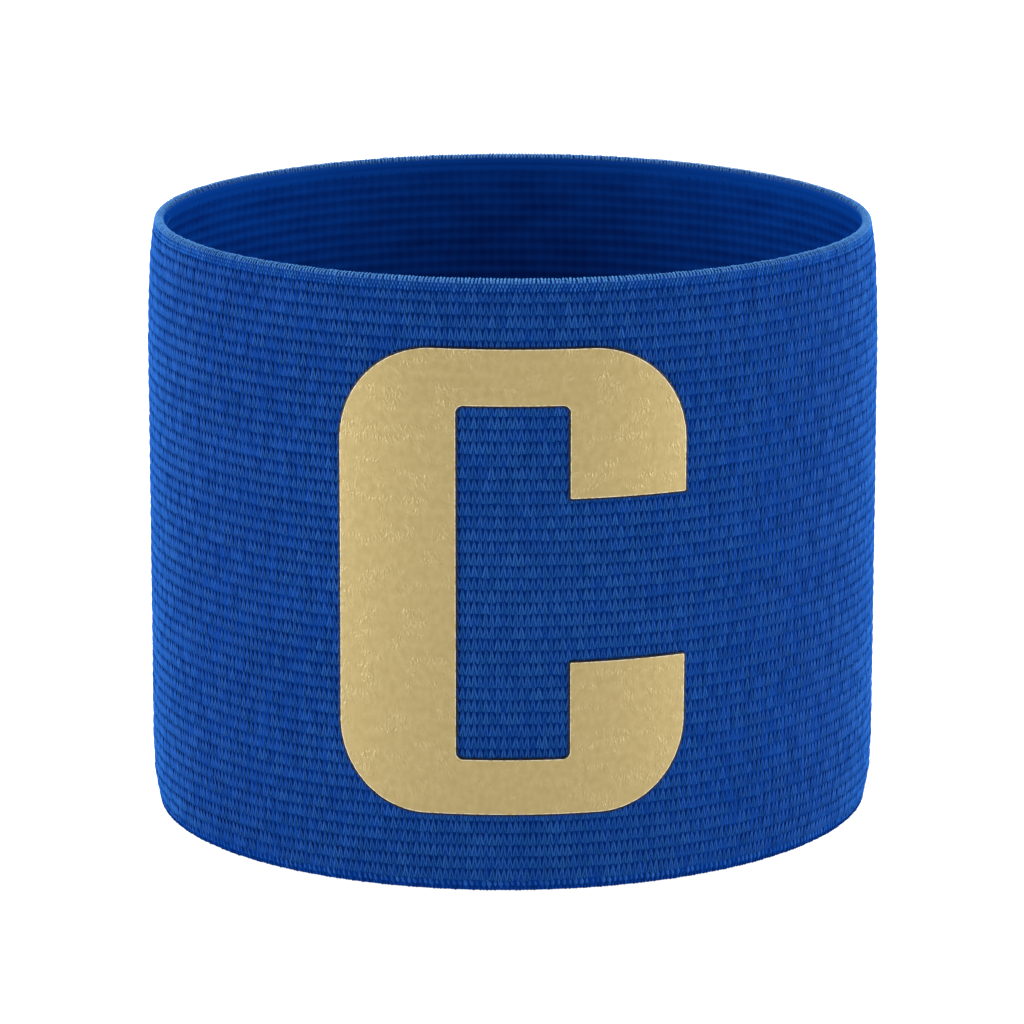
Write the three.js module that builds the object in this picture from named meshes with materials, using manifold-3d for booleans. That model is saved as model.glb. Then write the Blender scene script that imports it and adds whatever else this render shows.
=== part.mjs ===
// Captain armband: a loop of knitted elastic that stands on its lower edge, with a plain block letter C,
// the captain's mark, cut from gold transfer film and pressed on its front.
// Millimetres, +Z up, origin on the axis of the loop in the plane of its lower edge, letter facing -Y.
import * as THREE from "three";
import Module from "manifold-3d";

// Elastic band.
const BAND_HEIGHT = 75; // width of the elastic, edge to edge
const BAND_RADIUS = 46; // outer radius of the loop between its edges
const BAND_WALL = 1.2; // thickness of the knitted elastic
const EDGE_DRAW = 0.95; // how far the tight upper edge pulls the loop in
const EDGE_OVAL = 0.45; // how far out of round the lower edge stands
const OVAL_AXIS = THREE.MathUtils.degToRad(-135); // where the lower edge bulges, at the front left
const FOOT_FLAT = 0.5; // width of the flat that the lower edge rests on

// Selvedge: the firm cord along each edge, set off by a crease on both faces.
const SELVEDGE = 1.3; // from the edge to the middle of the crease
const CREASE_WIDTH = 0.5;
const CREASE_DEPTH = 0.16;

// Letter of transfer film, measured along the cloth.
const LETTER_WIDTH = 43;
const LETTER_HEIGHT = 57.2;
const LETTER_RISE = 0.8; // middle of the letter above the middle of the band
const STEM_WIDTH = 14.8;
const ARM_WIDTH = 14.7;
const BAR_HEIGHT = 7; // top and bottom strokes
const MOUTH_HEIGHT = 20; // between the tips of the two arms
const MOUTH_RISE = 0.3; // middle of the mouth above the middle of the letter
const SHOULDER_RADIUS = 12; // outer corners at the top
const HEEL_RADIUS = 11; // outer corners at the bottom
const COUNTER_RADIUS = 0.8; // corners of the space inside the letter
const TIP_RADIUS = 0.3; // corners of the arms at the mouth
const FILM_THICKNESS = 0.25;
const FILM_GAP = 0.1; // clearance between the film and the elastic

// Fineness of the meshes.
const LOOP_STEPS = 120;
const RIM_STEPS = 6;
const CORNER_STEPS = 10;

// The letter is cut by a block that reaches from inside the loop to well outside it.
const CUTTER_INSIDE = 0.5 * BAND_RADIUS;
const CUTTER_OUTSIDE = 1.5 * BAND_RADIUS;

// The loop's shape by height, as shares of BAND_HEIGHT, EDGE_DRAW and EDGE_OVAL.
const SHAPE = [
  { height: 0.0, draw: 0.5, oval: 1.0 },
  { height: 0.05, draw: 0.2, oval: 0.85 },
  { height: 0.11, draw: 0.0, oval: 0.65 },
  { height: 0.45, draw: 0.0, oval: 0.0 },
  { height: 0.8, draw: 0.0, oval: -0.2 },
  { height: 0.88, draw: 0.18, oval: -0.4 },
  { height: 0.94, draw: 0.45, oval: -0.6 },
  { height: 1.0, draw: 1.0, oval: -0.7 },
];

// How far the loop is drawn in, and how far it is out of round, in millimetres at height z.
function shapeAt(z) {
  const share = THREE.MathUtils.clamp(z / BAND_HEIGHT, 0, 1);
  const above = SHAPE.findIndex((row, i) => i > 0 && row.height >= share);
  const low = SHAPE[above - 1];
  const high = SHAPE[above];
  const t = (share - low.height) / (high.height - low.height);
  return {
    draw: EDGE_DRAW * THREE.MathUtils.lerp(low.draw, high.draw, t),
    oval: EDGE_OVAL * THREE.MathUtils.lerp(low.oval, high.oval, t),
  };
}

// The point at a depth below the loop's outer face, at height z and an angle about the axis.
function loopPoint(depth, z, angle) {
  const { draw, oval } = shapeAt(z);
  const radius = BAND_RADIUS - draw - depth + oval * Math.cos(2 * (angle - OVAL_AXIS));
  return [radius * Math.cos(angle), radius * Math.sin(angle), z];
}

function meshGeometry(positions, indices) {
  const geometry = new THREE.BufferGeometry();
  geometry.setAttribute("position", new THREE.Float32BufferAttribute(positions, 3));
  geometry.setIndex(indices);
  geometry.computeVertexNormals();
  return geometry;
}

// A closed ring: a section of { depth, z } points, up the outside and down the inside, swept round.
function ringGeometry(section) {
  const positions = [];
  const indices = [];
  const count = section.length;
  for (let step = 0; step < LOOP_STEPS; step++) {
    const angle = (2 * Math.PI * step) / LOOP_STEPS;
    section.forEach(({ depth, z }) => positions.push(...loopPoint(depth, z, angle)));
    const here = step * count;
    const there = ((step + 1) % LOOP_STEPS) * count;
    for (let i = 0; i < count; i++) {
      const j = (i + 1) % count;
      indices.push(here + i, there + i, there + j);
      indices.push(here + i, there + j, here + j);
    }
  }
  return meshGeometry(positions, indices);
}

// One face of the band from bottom to top, with the crease beside each selvedge cut inwards.
function faceLine(depth, inwards, lowest, highest) {
  const crease = (middle) => [
    { depth, z: middle - CREASE_WIDTH / 2 },
    { depth: depth + inwards * CREASE_DEPTH, z: middle },
    { depth, z: middle + CREASE_WIDTH / 2 },
  ];
  const margin = SELVEDGE + CREASE_WIDTH;
  const between = SHAPE.map((row) => ({ depth, z: row.height * BAND_HEIGHT })).filter(
    ({ z }) => z > margin && z < BAND_HEIGHT - margin,
  );
  return [
    { depth, z: lowest },
    ...crease(SELVEDGE),
    ...between,
    ...crease(BAND_HEIGHT - SELVEDGE),
    { depth, z: highest },
  ];
}

// The elastic: two creased faces, a half-round upper edge and a lower edge with a flat foot.
function bandGeometry() {
  const rimRadius = BAND_WALL / 2;
  const footCorner = (BAND_WALL - FOOT_FLAT) / 2;
  const rimFoot = BAND_HEIGHT - rimRadius;
  const rim = [];
  for (let step = 1; step < RIM_STEPS; step++) {
    const turn = (Math.PI * step) / RIM_STEPS;
    rim.push({
      depth: rimRadius * (1 - Math.cos(turn)),
      z: rimFoot + rimRadius * Math.sin(turn),
    });
  }
  return ringGeometry([
    ...faceLine(0, 1, footCorner, rimFoot),
    ...rim,
    ...faceLine(BAND_WALL, -1, footCorner, rimFoot).reverse(),
    { depth: BAND_WALL - footCorner, z: 0 },
    { depth: footCorner, z: 0 },
  ]);
}

// A counterclockwise outline whose right-angled corners are rounded, each to its own radius.
function roundedOutline(corners) {
  const points = [];
  corners.forEach(({ at, radius }, i) => {
    const before = corners[(i + corners.length - 1) % corners.length].at;
    const after = corners[(i + 1) % corners.length].at;
    const back = before.clone().sub(at).setLength(radius);
    const ahead = after.clone().sub(at).setLength(radius);
    const centre = at.clone().add(back).add(ahead);
    for (let step = 0; step <= CORNER_STEPS; step++) {
      const turn = (Math.PI / 2) * (step / CORNER_STEPS);
      const point = centre.clone();
      point.addScaledVector(ahead, -Math.cos(turn));
      point.addScaledVector(back, -Math.sin(turn));
      points.push(point);
    }
  });
  return points;
}

// The letter laid flat: x runs along the cloth from the letter's middle, y is the height.
function letterOutline() {
  const left = -LETTER_WIDTH / 2;
  const right = LETTER_WIDTH / 2;
  const middle = BAND_HEIGHT / 2 + LETTER_RISE;
  const foot = middle - LETTER_HEIGHT / 2;
  const head = middle + LETTER_HEIGHT / 2;
  const counterLeft = left + STEM_WIDTH;
  const counterRight = right - ARM_WIDTH;
  const counterFoot = foot + BAR_HEIGHT;
  const counterHead = head - BAR_HEIGHT;
  const mouthFoot = middle + MOUTH_RISE - MOUTH_HEIGHT / 2;
  const mouthHead = mouthFoot + MOUTH_HEIGHT;
  const corner = (x, y, radius) => ({ at: new THREE.Vector2(x, y), radius });
  return roundedOutline([
    corner(right, foot, HEEL_RADIUS),
    corner(right, mouthFoot, TIP_RADIUS),
    corner(counterRight, mouthFoot, TIP_RADIUS),
    corner(counterRight, counterFoot, COUNTER_RADIUS),
    corner(counterLeft, counterFoot, COUNTER_RADIUS),
    corner(counterLeft, counterHead, COUNTER_RADIUS),
    corner(counterRight, counterHead, COUNTER_RADIUS),
    corner(counterRight, mouthHead, TIP_RADIUS),
    corner(right, mouthHead, TIP_RADIUS),
    corner(right, head, SHOULDER_RADIUS),
    corner(left, head, SHOULDER_RADIUS),
    corner(left, foot, HEEL_RADIUS),
  ]);
}

// A block with the letter's outline, wrapped round the loop, whose sides all point at its axis.
function letterBlock() {
  const outline = letterOutline();
  const count = outline.length;
  const positions = [];
  const indices = [];
  [CUTTER_INSIDE, CUTTER_OUTSIDE].forEach((radius) => {
    outline.forEach(({ x, y }) => {
      const angle = x / BAND_RADIUS - Math.PI / 2;
      positions.push(radius * Math.cos(angle), radius * Math.sin(angle), y);
    });
  });
  THREE.ShapeUtils.triangulateShape(outline, []).forEach(([a, b, c]) => {
    indices.push(a, c, b);
    indices.push(count + a, count + b, count + c);
  });
  for (let i = 0; i < count; i++) {
    const j = (i + 1) % count;
    indices.push(i, j, count + j);
    indices.push(i, count + j, count + i);
  }
  return meshGeometry(positions, indices);
}

const wasm = await Module();
wasm.setup();

function solidOf(geometry) {
  return new wasm.Manifold(
    new wasm.Mesh({
      numProp: 3,
      vertProperties: new Float32Array(geometry.attributes.position.array),
      triVerts: new Uint32Array(geometry.index.array),
    }),
  );
}

// The film: a thin layer that follows the band's outer face, cut to the letter.
function letterGeometry() {
  const heights = SHAPE.map((row) => row.height * BAND_HEIGHT);
  const outerFace = heights.map((z) => ({ depth: -FILM_GAP - FILM_THICKNESS, z }));
  const innerFace = heights.map((z) => ({ depth: -FILM_GAP, z })).reverse();
  const layer = solidOf(ringGeometry([...outerFace, ...innerFace]));
  const { vertProperties, triVerts } = layer.intersect(solidOf(letterBlock())).getMesh();
  return meshGeometry([...vertProperties], [...triVerts]);
}

const elastic = new THREE.MeshStandardMaterial({ color: 0x15448a, roughness: 0.85, metalness: 0 });
const goldFilm = new THREE.MeshStandardMaterial({ color: 0xc1a974, roughness: 0.4, metalness: 0.45 });

const band = new THREE.Mesh(bandGeometry(), elastic);
band.name = "elastic_band";

const letter = new THREE.Mesh(letterGeometry(), goldFilm);
letter.name = "letter_c";

const armband = new THREE.Group();
armband.name = "captain_armband";
armband.add(band, letter);

export default armband;
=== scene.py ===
"""Captain armband: a loop of knitted elastic with a plain block letter C of gold film on its front.

Metres, +Z up. The loop stands on its lower edge at the origin, and the letter faces -Y.
The knit is real geometry: each stitch of the outer face is a small loop of yarn over a ribbed wall.
"""

import math

import bpy
import numpy as np
from bpy.props import FloatProperty, FloatVectorProperty, IntProperty, PointerProperty
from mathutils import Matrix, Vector
from mathutils.geometry import delaunay_2d_cdt


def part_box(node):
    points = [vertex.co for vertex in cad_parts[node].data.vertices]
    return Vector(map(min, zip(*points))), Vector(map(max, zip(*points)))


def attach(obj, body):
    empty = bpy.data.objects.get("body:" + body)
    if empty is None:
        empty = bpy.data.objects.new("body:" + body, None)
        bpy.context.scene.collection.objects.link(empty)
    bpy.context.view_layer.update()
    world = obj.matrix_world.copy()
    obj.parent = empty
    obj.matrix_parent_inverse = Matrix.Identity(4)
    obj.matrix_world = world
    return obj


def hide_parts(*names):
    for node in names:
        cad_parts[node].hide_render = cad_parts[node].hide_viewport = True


bl_info = {
    "name": "Captain Armband",
    "version": (1, 0, 0),
    "blender": (4, 5, 0),
    "location": "3D View > Sidebar > Armband",
    "description": "Builds a knitted elastic armband with a letter of gold transfer film",
    "category": "Add Mesh",
}

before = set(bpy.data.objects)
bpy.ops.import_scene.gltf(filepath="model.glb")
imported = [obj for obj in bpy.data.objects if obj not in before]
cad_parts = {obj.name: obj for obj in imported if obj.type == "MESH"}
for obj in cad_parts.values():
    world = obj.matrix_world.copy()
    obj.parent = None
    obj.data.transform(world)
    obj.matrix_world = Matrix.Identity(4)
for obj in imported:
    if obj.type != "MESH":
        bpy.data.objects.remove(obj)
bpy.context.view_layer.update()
BAND_LOW, BAND_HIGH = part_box("elastic_band")

MM = 0.001
FRONT = math.radians(-90.0)  # the direction that the letter faces
FULL_TURN = 2.0 * math.pi


def table(columns, *rows):
    """Rows of values under named columns."""
    return tuple(dict(zip(columns.split(), row)) for row in rows)


# The loop's shape by height, as shares of the band's height, edge draw and edge oval.
LOOP_SHAPE = table(
    "height draw oval",
    (0.0, 0.5, 1.0),
    (0.05, 0.2, 0.85),
    (0.11, 0.0, 0.65),
    (0.45, 0.0, 0.0),
    (0.8, 0.0, -0.2),
    (0.88, 0.18, -0.4),
    (0.94, 0.45, -0.6),
    (1.0, 1.0, -0.7),
)
SHAPE_HEIGHTS, SHAPE_DRAWS, SHAPE_OVALS = ([row[key] for row in LOOP_SHAPE] for key in LOOP_SHAPE[0])
TUCKED_SHARE = 0.05  # the lowest part of the band's height, which is drawn in at both sides
WAVES_ROUND = 3.0  # how often the rows waver on the way round
WAVE_SLANT = 5.0  # how far the waver shifts from the lower edge to the upper one, in radians
WAVE_FADE = 7.0  # how far the place where it fades shifts, in radians
BACK_TURN = math.radians(8.0)  # from the middle of the back to the highest place of the upper edge
BACK_NARROW = 3  # a higher power makes the lift at the back narrower
PROBE = 0.05 * MM  # step by which the directions of the cloth are measured
SLOPE_PROBE = 0.004  # the same for the lean of the edges, as a share of the height

# One row of the outer ground: shares of the row's height, and of the groove's depth.
OUTER_ROW = table("up sunk", (-0.5, 0.5), (-0.15, 0.0), (0.3, 1.0))

# One row of the inner face: a rounded rib with a narrow groove above and below.
INNER_ROW = table("up sunk", (-0.5, 1.0), (-0.34, 0.35), (0.0, 0.0), (0.34, 0.35))

# Each yarn follows a path: shares of the stitch's width and height, and of the yarn's size.
# A leg of a knitted loop runs from its top, where the two legs lie together, to its spread foot.
LEG_PATH = table(
    "along up rise width",
    (0.04, 0.46, 0.7, 0.6),
    (0.15, 0.1, 1.0, 1.25),
    (0.45, -0.52, 0.4, 0.85),
)

# The end of the loop above, which shows between the legs.
CORE_PATH = table("along up rise width", (0.0, -0.08, 0.3, 0.45), (0.0, -0.56, 0.5, 0.75))

# A short strand of yarn, which shows on its own along both edges.
STRAND_PATH = table(
    "along up rise width",
    (0.0, -0.5, 0.2, 0.6),
    (0.0, 0.0, 1.0, 1.0),
    (0.0, 0.5, 0.2, 0.6),
)

# One turn of the zigzag that closes the loop, from needle hole to needle hole.
ZIGZAG_PATH = table(
    "along up rise width",
    (-0.5, -0.5, 0.0, 0.8),
    (-0.42, -0.46, 0.9, 1.0),
    (0.0, -0.25, 1.0, 1.0),
    (0.42, -0.04, 0.9, 1.0),
    (0.5, 0.0, 0.0, 0.8),
    (0.42, 0.04, 0.9, 1.0),
    (0.0, 0.25, 1.0, 1.0),
    (-0.42, 0.46, 0.9, 1.0),
    (-0.5, 0.5, 0.0, 0.8),
)

# Rows of single strands: which row of the knit they stand on, and shares of that row's height and of
# the strands' pitch, by which they lean over, how wide they are and how far the row is set off.
STRAND_ROWS = table(
    "piece row up tall lean wide off",
    ("selvedge_strands_lower", 0, 0.1, 0.8, -0.35, 0.85, 0.0),
    ("selvedge_strands_middle", -1, -0.24, 0.6, 0.1, 0.7, 0.0),
    ("selvedge_strands_upper", -1, 0.24, 0.6, 0.1, 0.7, 0.5),
)

STITCH_LEANS = (-0.08, -0.03, 0.03, 0.08)  # how the shapes of a stitch lean, as shares of its width
STRAND_LEANS = (-0.15, 0.15)
WRAP_LEANS = (-0.2, 0.2)
WRAP_STEPS = 8  # facets of one turn of yarn over an edge
WRAP_PINCH = 0.55  # how thin a turn of yarn is where it is pinched, as a share of its full size
WRAP_EVENNESS = 0.5  # how much of the knit's unevenness the wraps have
BEAD_EVENNESS = 0.3  # the same for the stitches inside the upper edge
FOOT_SQUARE = 0.4  # 1 makes the lower edge round like the upper one, and less makes it squarer
ROOT_DEPTH = 0.9  # how deep the ground lies below the top of a stitch, as a share of the yarn's rise
HIDDEN_ROWS = 1.1  # how many rows the knit runs on under the film
ROUND_CORNERS = ((0, 0), (1, 0), (1, 1), (0, 1))  # corners of a ring's face, in steps round and along

# Rings of points in the film, from the adhesive inwards: how low they lie, as shares of the film's
# thickness, and the material of the faces that touch them.
FILM_RINGS = table("drop material", (0.2, 2), (0.05, 1), (0.0, 0), (0.0, 0))
OUTLINE_STEP = 0.12 * MM  # from point to point of the film's outline
OUTLINE_MERGE = 1e-5  # millimetres within which its points become one
CORNER_STEPS = 40  # facets of a rounded corner
STITCH_TEETH, ROW_TEETH = 2.0, 3.0  # teeth of adhesive to a stitch and to a row
GRID_TO_ROW = 3.0  # points of the film to a row
GRID_MARGIN = 2.0  # how far they stay from its edge, in widths of the cut edge

# The scatter's inputs, and how far the seed of each random draw lies from the given one.
SCATTER_INPUTS = table(
    "name kind",
    ("Geometry", "Geometry"),
    ("Turn", "Float"),
    ("Unevenness", "Float"),
    ("Shift", "Float"),
    ("Shapes", "Int"),
    ("Seed", "Int"),
)
TURN_DRAW, SIZE_DRAW, SHIFT_DRAW, TONE_DRAW = 1.0, 2.0, 3.0, 4.0

# Noise of the finishes: spots to a millimetre across and up, how finely they break up, and the span
# of values that becomes 0 to 1.
NOISES = {
    row["name"]: row
    for row in table(
        "name across up detail low high",
        ("film_patches", 0.3, 0.4, 3.0, 0.46, 0.6),
        ("film_loops", 3.4, 1.7, 1.0, 0.46, 0.64),
        ("film_streaks", 1.2, 0.9, 5.0, 0.3, 0.7),
        ("cut_nicks", 1.8, 1.8, 2.0, 0.38, 0.55),
        ("adhesive_specks", 2.0, 2.0, 2.0, 0.5, 0.9),
        ("inner_patches", 0.15, 0.35, 3.0, 0.3, 0.7),
    )
}
PATCH_DETAIL = 3.0  # how finely the patches of the yarn break up
YARN_PATCH, GROUND_PATCH = 7.0 * MM, 4.0 * MM  # their size on the stitches and on the ground
YARN_PATCHES = 0.4  # how much of a stitch's tone comes from such patches, and not from its own draw
HIGHLIGHT_LOW, HIGHLIGHT_HIGH = -0.45 * MM, 0.1 * MM  # where the upper edge's painted highlight comes in, from the top of the band
HIGHLIGHT_LEAST = 0.3  # how much of the painted highlight is left below that
GROUND_CREST, GROUND_PALE = 0.2, 0.45  # where in a row the ground's painted shade is lightest, and by how much
INNER_CREST = 0.5  # where in a row the inner face's painted groove shade is lightest
INNER_PATCHES, INNER_FLOATS = 0.45, 0.18  # how much patches and floats count against its ribs
INNER_LIT_EDGE = (0.96, 0.985)  # where painted light makes it paler towards the upper edge, as shares of the height
FLOAT_WANDER, ROW_WANDER = 3.0, 4.0  # how unevenly the floats and the rows under the film run
FILM_MARKS = 0.75  # how much the marks of the knit count against streaks in the film's relief
FILM_LIT = 0.3  # how much paler the marks are painted, as painted highlight
FILM_CALM = 0.6  # how far streaks in its colour and rows in its marks are calmed

# Soft boxes: where they stand and how large they are, in metres, and their power in watts.
LIGHTS = table(
    "name place size power",
    ("left_soft_box", (-0.98, -0.2, 0.3), 0.8, 15.5),
    ("right_soft_box", (0.98, -0.2, 0.3), 0.8, 15.5),
    ("left_rim_box", (-0.5, 0.6, 0.06), 0.1, 8.5),
    ("right_rim_box", (0.5, 0.6, 0.06), 0.1, 8.5),
    ("front_soft_box", (0.0, -1.4, 0.25), 0.6, 1.5),
    ("back_soft_box", (0.0, 1.1, 1.1), 1.2, 19.0),
)


def linear(code):
    """A colour written as sRGB hex, as the linear RGBA that shaders take."""
    shares = [int(code[i : i + 2], 16) / 255.0 for i in (1, 3, 5)]
    return [s / 12.92 if s <= 0.04045 else ((s + 0.055) / 1.055) ** 2.4 for s in shares] + [1.0]


def number(name, description, default, **kind):
    """A number in the sidebar."""
    return FloatProperty(name=name, description=description, default=default, precision=5, **kind)


def length(name, description, default):
    """A length in metres."""
    return number(name, description, default, unit="LENGTH")


def camera_length(name, description, default):
    """A length of the camera in millimetres."""
    return number(name, description, default, subtype="DISTANCE_CAMERA")


def turned(name, description, degrees):
    """An angle."""
    return number(name, description, math.radians(degrees), subtype="ANGLE")


def factor(name, description, default):
    """A share of something."""
    return number(name, description, default, subtype="FACTOR", min=-1.0, max=1.0)


def whole(name, description, default):
    """A number of things."""
    return IntProperty(name=name, description=description, default=default, min=1)


def colour(name, description, code):
    """A colour, from its sRGB hex."""
    return FloatVectorProperty(
        name=name, description=description, default=linear(code), size=4, subtype="COLOR", min=0.0, max=1.0
    )


class ArmbandBand(bpy.types.PropertyGroup):
    """Size and shape of the loop of elastic."""

    height: length("Height", "Width of the elastic, edge to edge", BAND_HIGH.z - BAND_LOW.z)
    radius: length("Radius", "Outer radius between the edges", (BAND_HIGH.x - BAND_LOW.x) / 2.0)
    wall: length("Wall", "Thickness of the knitted elastic", 1.2 * MM)
    edge_draw: length("Edge draw", "How far the tight upper edge pulls the loop in", 0.95 * MM)
    edge_oval: length("Edge oval", "How far out of round the lower edge stands", 0.45 * MM)
    oval_axis: turned("Oval axis", "Where the lower edge bulges", -135.0)
    wave: length("Row wave", "How far the rows waver up and down", 0.08 * MM)
    back_lift: length("Back lift", "How much higher the upper edge stands at the back", 0.25 * MM)
    tuck: length("Tuck", "How far the lower edge is drawn in at both sides", 0.35 * MM)
    steps: whole("Steps", "Facets round the loop", 216)


class ArmbandKnit(bpy.types.PropertyGroup):
    """Rows and stitches of the knit."""

    rows: whole("Rows", "Full rows between the edge rows", 47)
    row_pitch: length("Row pitch", "Height of one row", 1.51 * MM)
    foot_row: length("Foot row", "Height of the row along the lower edge", 1.4 * MM)
    neck_row: length("Neck row", "Height of the short row under the binding row", 1.15 * MM)
    binding_row: length("Binding row", "Height of the fine row under the wrapped edge", 0.95 * MM)
    stitches: whole("Stitches", "Stitches round the loop", 408)
    yarn_width: length("Yarn width", "Width of the yarn of a stitch", 0.25 * MM)
    yarn_rise: length("Yarn rise", "How far a stitch stands up from its root", 0.16 * MM)
    loft: length("Loft", "How far the tops of the stitches stand off the band's face", 0.06 * MM)
    groove: length("Groove", "Depth of the grooves of the ground below the roots", 0.05 * MM)
    rib: length("Inner rib", "Depth of the grooves on the inner face", 0.2 * MM)
    turn: turned("Turn", "Most that a stitch leans", 4.0)
    unevenness: factor("Unevenness", "Most that a stitch differs in size", 0.12)
    shift: length("Shift", "Most that a stitch lies off its place", 0.045 * MM)
    seed: whole("Seed", "Fixes what is random", 11)


class ArmbandLetter(bpy.types.PropertyGroup):
    """The letter of transfer film, measured along the cloth."""

    width: length("Width", "Width along the cloth", 43.0 * MM)
    height: length("Height", "Height of the letter", 57.2 * MM)
    rise: length("Rise", "Middle of the letter above the middle of the band", 0.8 * MM)
    stem: length("Stem", "Width of the upright stroke", 14.8 * MM)
    arm: length("Arm", "Width of the two arms", 14.7 * MM)
    bar: length("Bar", "Height of the top and bottom strokes", 7.0 * MM)
    mouth: length("Mouth", "Opening between the arms", 20.0 * MM)
    mouth_rise: length("Mouth rise", "Middle of the mouth above the letter's middle", 0.3 * MM)
    shoulder: length("Shoulder radius", "Outer corners at the top", 12.0 * MM)
    heel: length("Heel radius", "Outer corners at the bottom", 11.0 * MM)
    counter_radius: length("Counter radius", "Corners of the space inside", 0.8 * MM)
    tip_radius: length("Tip radius", "Corners of the arms at the mouth", 0.3 * MM)
    stand: length("Stand", "Top of the film above the band's face", 0.16 * MM)
    film: length("Film", "Thickness of the film", 0.12 * MM)
    line: length("Adhesive line", "Width of the dark line of adhesive round the film", 0.24 * MM)
    # The cut edge is painted paler, as a painted highlight.
    cut: length("Cut edge", "Width of the paler edge of the film", 0.085 * MM)
    relief: length("Relief", "How far the rows show through the film", 0.02 * MM)
    teeth: length("Teeth", "How far the adhesive squeezes out between the stitches", 0.07 * MM)


class ArmbandSelvedge(bpy.types.PropertyGroup):
    """Wrapped yarn along the two edges, and the seam that closes the loop."""

    wraps: whole("Wraps", "Turns of yarn, and strands, along each edge", 656)
    wrap_width: length("Wrap width", "Width of one turn of yarn", 0.33 * MM)
    wrap_rise: length("Wrap rise", "How far the yarn stands off the upper edge", 0.1 * MM)
    foot_rise: length("Foot rise", "How far the yarn stands off the lower edge", 0.05 * MM)
    beads: whole("Inner stitches", "Stitches round the inside", 202)
    bead_width: length("Inner stitch width", "Width of a stitch on the inside", 0.6 * MM)
    bead_height: length("Inner stitch height", "Height of a stitch on the inside", 0.4 * MM)
    bead_depth: length("Inner stitch depth", "Middle of those stitches below the upper edge", 2.1 * MM)
    bead_stand: length("Inner stitch stand", "How far they stand off the inner face", 0.1 * MM)
    seam_place: turned("Seam place", "Where the loop is closed", 173.0)
    seam_width: length("Seam width", "Width of the zigzag over the seam", 4.4 * MM)
    seam_pitch: length("Seam pitch", "Height of one turn of the zigzag", 2.3 * MM)
    seam_thread: length("Seam thread", "Width of the sewing thread", 0.32 * MM)
    seam_stand: length("Seam stand", "How far the thread stands off the cloth", 0.12 * MM)


class ArmbandColours(bpy.types.PropertyGroup):
    """Colours of the finishes."""

    yarn_light: colour("Yarn, light", "Lightest stitches", "#2756A1")
    yarn_dark: colour("Yarn, dark", "Darkest stitches", "#123B87")
    fuzz: colour("Fuzz", "Loose fibres at a glancing angle", "#00B0E7")
    # Painted highlight: the yarn over the upper edge is painted this paler colour towards the top, where it
    # catches the light from above.
    rim_highlight: colour("Rim", "Yarn over the upper edge", "#5C98D8")
    selvedge: colour("Selvedge", "Strands under the upper edge", "#306AB2")
    # Painted shade: the ground is the stitches' yarn painted nearly navy, for the shade that falls between
    # the stitches.
    ground: colour("Ground", "Yarn between the stitches", "#02307F")
    inside_light: colour("Inside, light", "Ribs of the inner face", "#06398A")
    # Painted shade: the inner face's grooves are painted this darker colour for the shade in them. The
    # ground and the lower edge take it too.
    inside_groove_shade: colour("Inside, dark", "Grooves of the inner face", "#032060")
    # Painted shading: the film's raised places are painted paler as highlight and its hollows darker as
    # shade, partly the pigment's own mottle.
    gold_light: colour("Gold, light", "Raised places of the film", "#B19E6D")
    gold_dark: colour("Gold, dark", "Hollows of the film", "#95814B")
    # Painted highlight: the paler colour of the film's cut edge, where the edge catches the light.
    cut_edge_highlight: colour("Cut edge", "Paler edge of the film", "#D8D0B8")
    adhesive: colour("Adhesive", "Dark line round the film", "#0E0B0E")
    paper: colour("Paper", "Light that shines through the sweep that the armband stands on", "#F7F7F6")
    paper_shade: colour("Paper, unlit", "The sweep by itself", "#B4B4B3")


class ArmbandStage(bpy.types.PropertyGroup):
    """Camera and light."""

    lens: camera_length("Lens", "Focal length", 191.45)
    sensor: camera_length("Sensor", "Width", 36.0)
    distance: length("Distance", "From the axis of the loop to the camera", 675.74 * MM)
    height: length("Height", "Height of the camera", 194.63 * MM)
    pitch: turned("Pitch", "How far the camera looks down", 13.18)
    shift: factor("Shift", "Sideways shift of the lens", -0.0006)
    sky: factor("Sky", "Strength of the light from all round", 0.13)
    glow: factor("Glow", "Light that the lit paper gives off", 0.9)
    sweep: length("Sweep", "Side of the paper sweep", 6.0)


class ArmbandSettings(bpy.types.PropertyGroup):
    """Everything that shapes the armband."""

    band: PointerProperty(type=ArmbandBand)
    knit: PointerProperty(type=ArmbandKnit)
    letter: PointerProperty(type=ArmbandLetter)
    selvedge: PointerProperty(type=ArmbandSelvedge)
    colours: PointerProperty(type=ArmbandColours)
    stage: PointerProperty(type=ArmbandStage)


def add_node(tree, kind, settings=None, inputs=None):
    """Add a node, set its own settings, and set or link its inputs."""
    node = tree.nodes.new(kind)
    for name, value in (settings or {}).items():
        setattr(node, name, value)
    for key, value in (inputs or {}).items():
        if isinstance(value, bpy.types.NodeSocket):
            tree.links.new(value, node.inputs[key])
        else:
            node.inputs[key].default_value = value
    return node


def maths(tree, operation, *values, clamp=False):
    """The result of a sum, product or the like."""
    kind = {"operation": operation, "use_clamp": clamp}
    return add_node(tree, "ShaderNodeMath", kind, dict(enumerate(values))).outputs[0]


# Shape of the loop.


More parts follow.
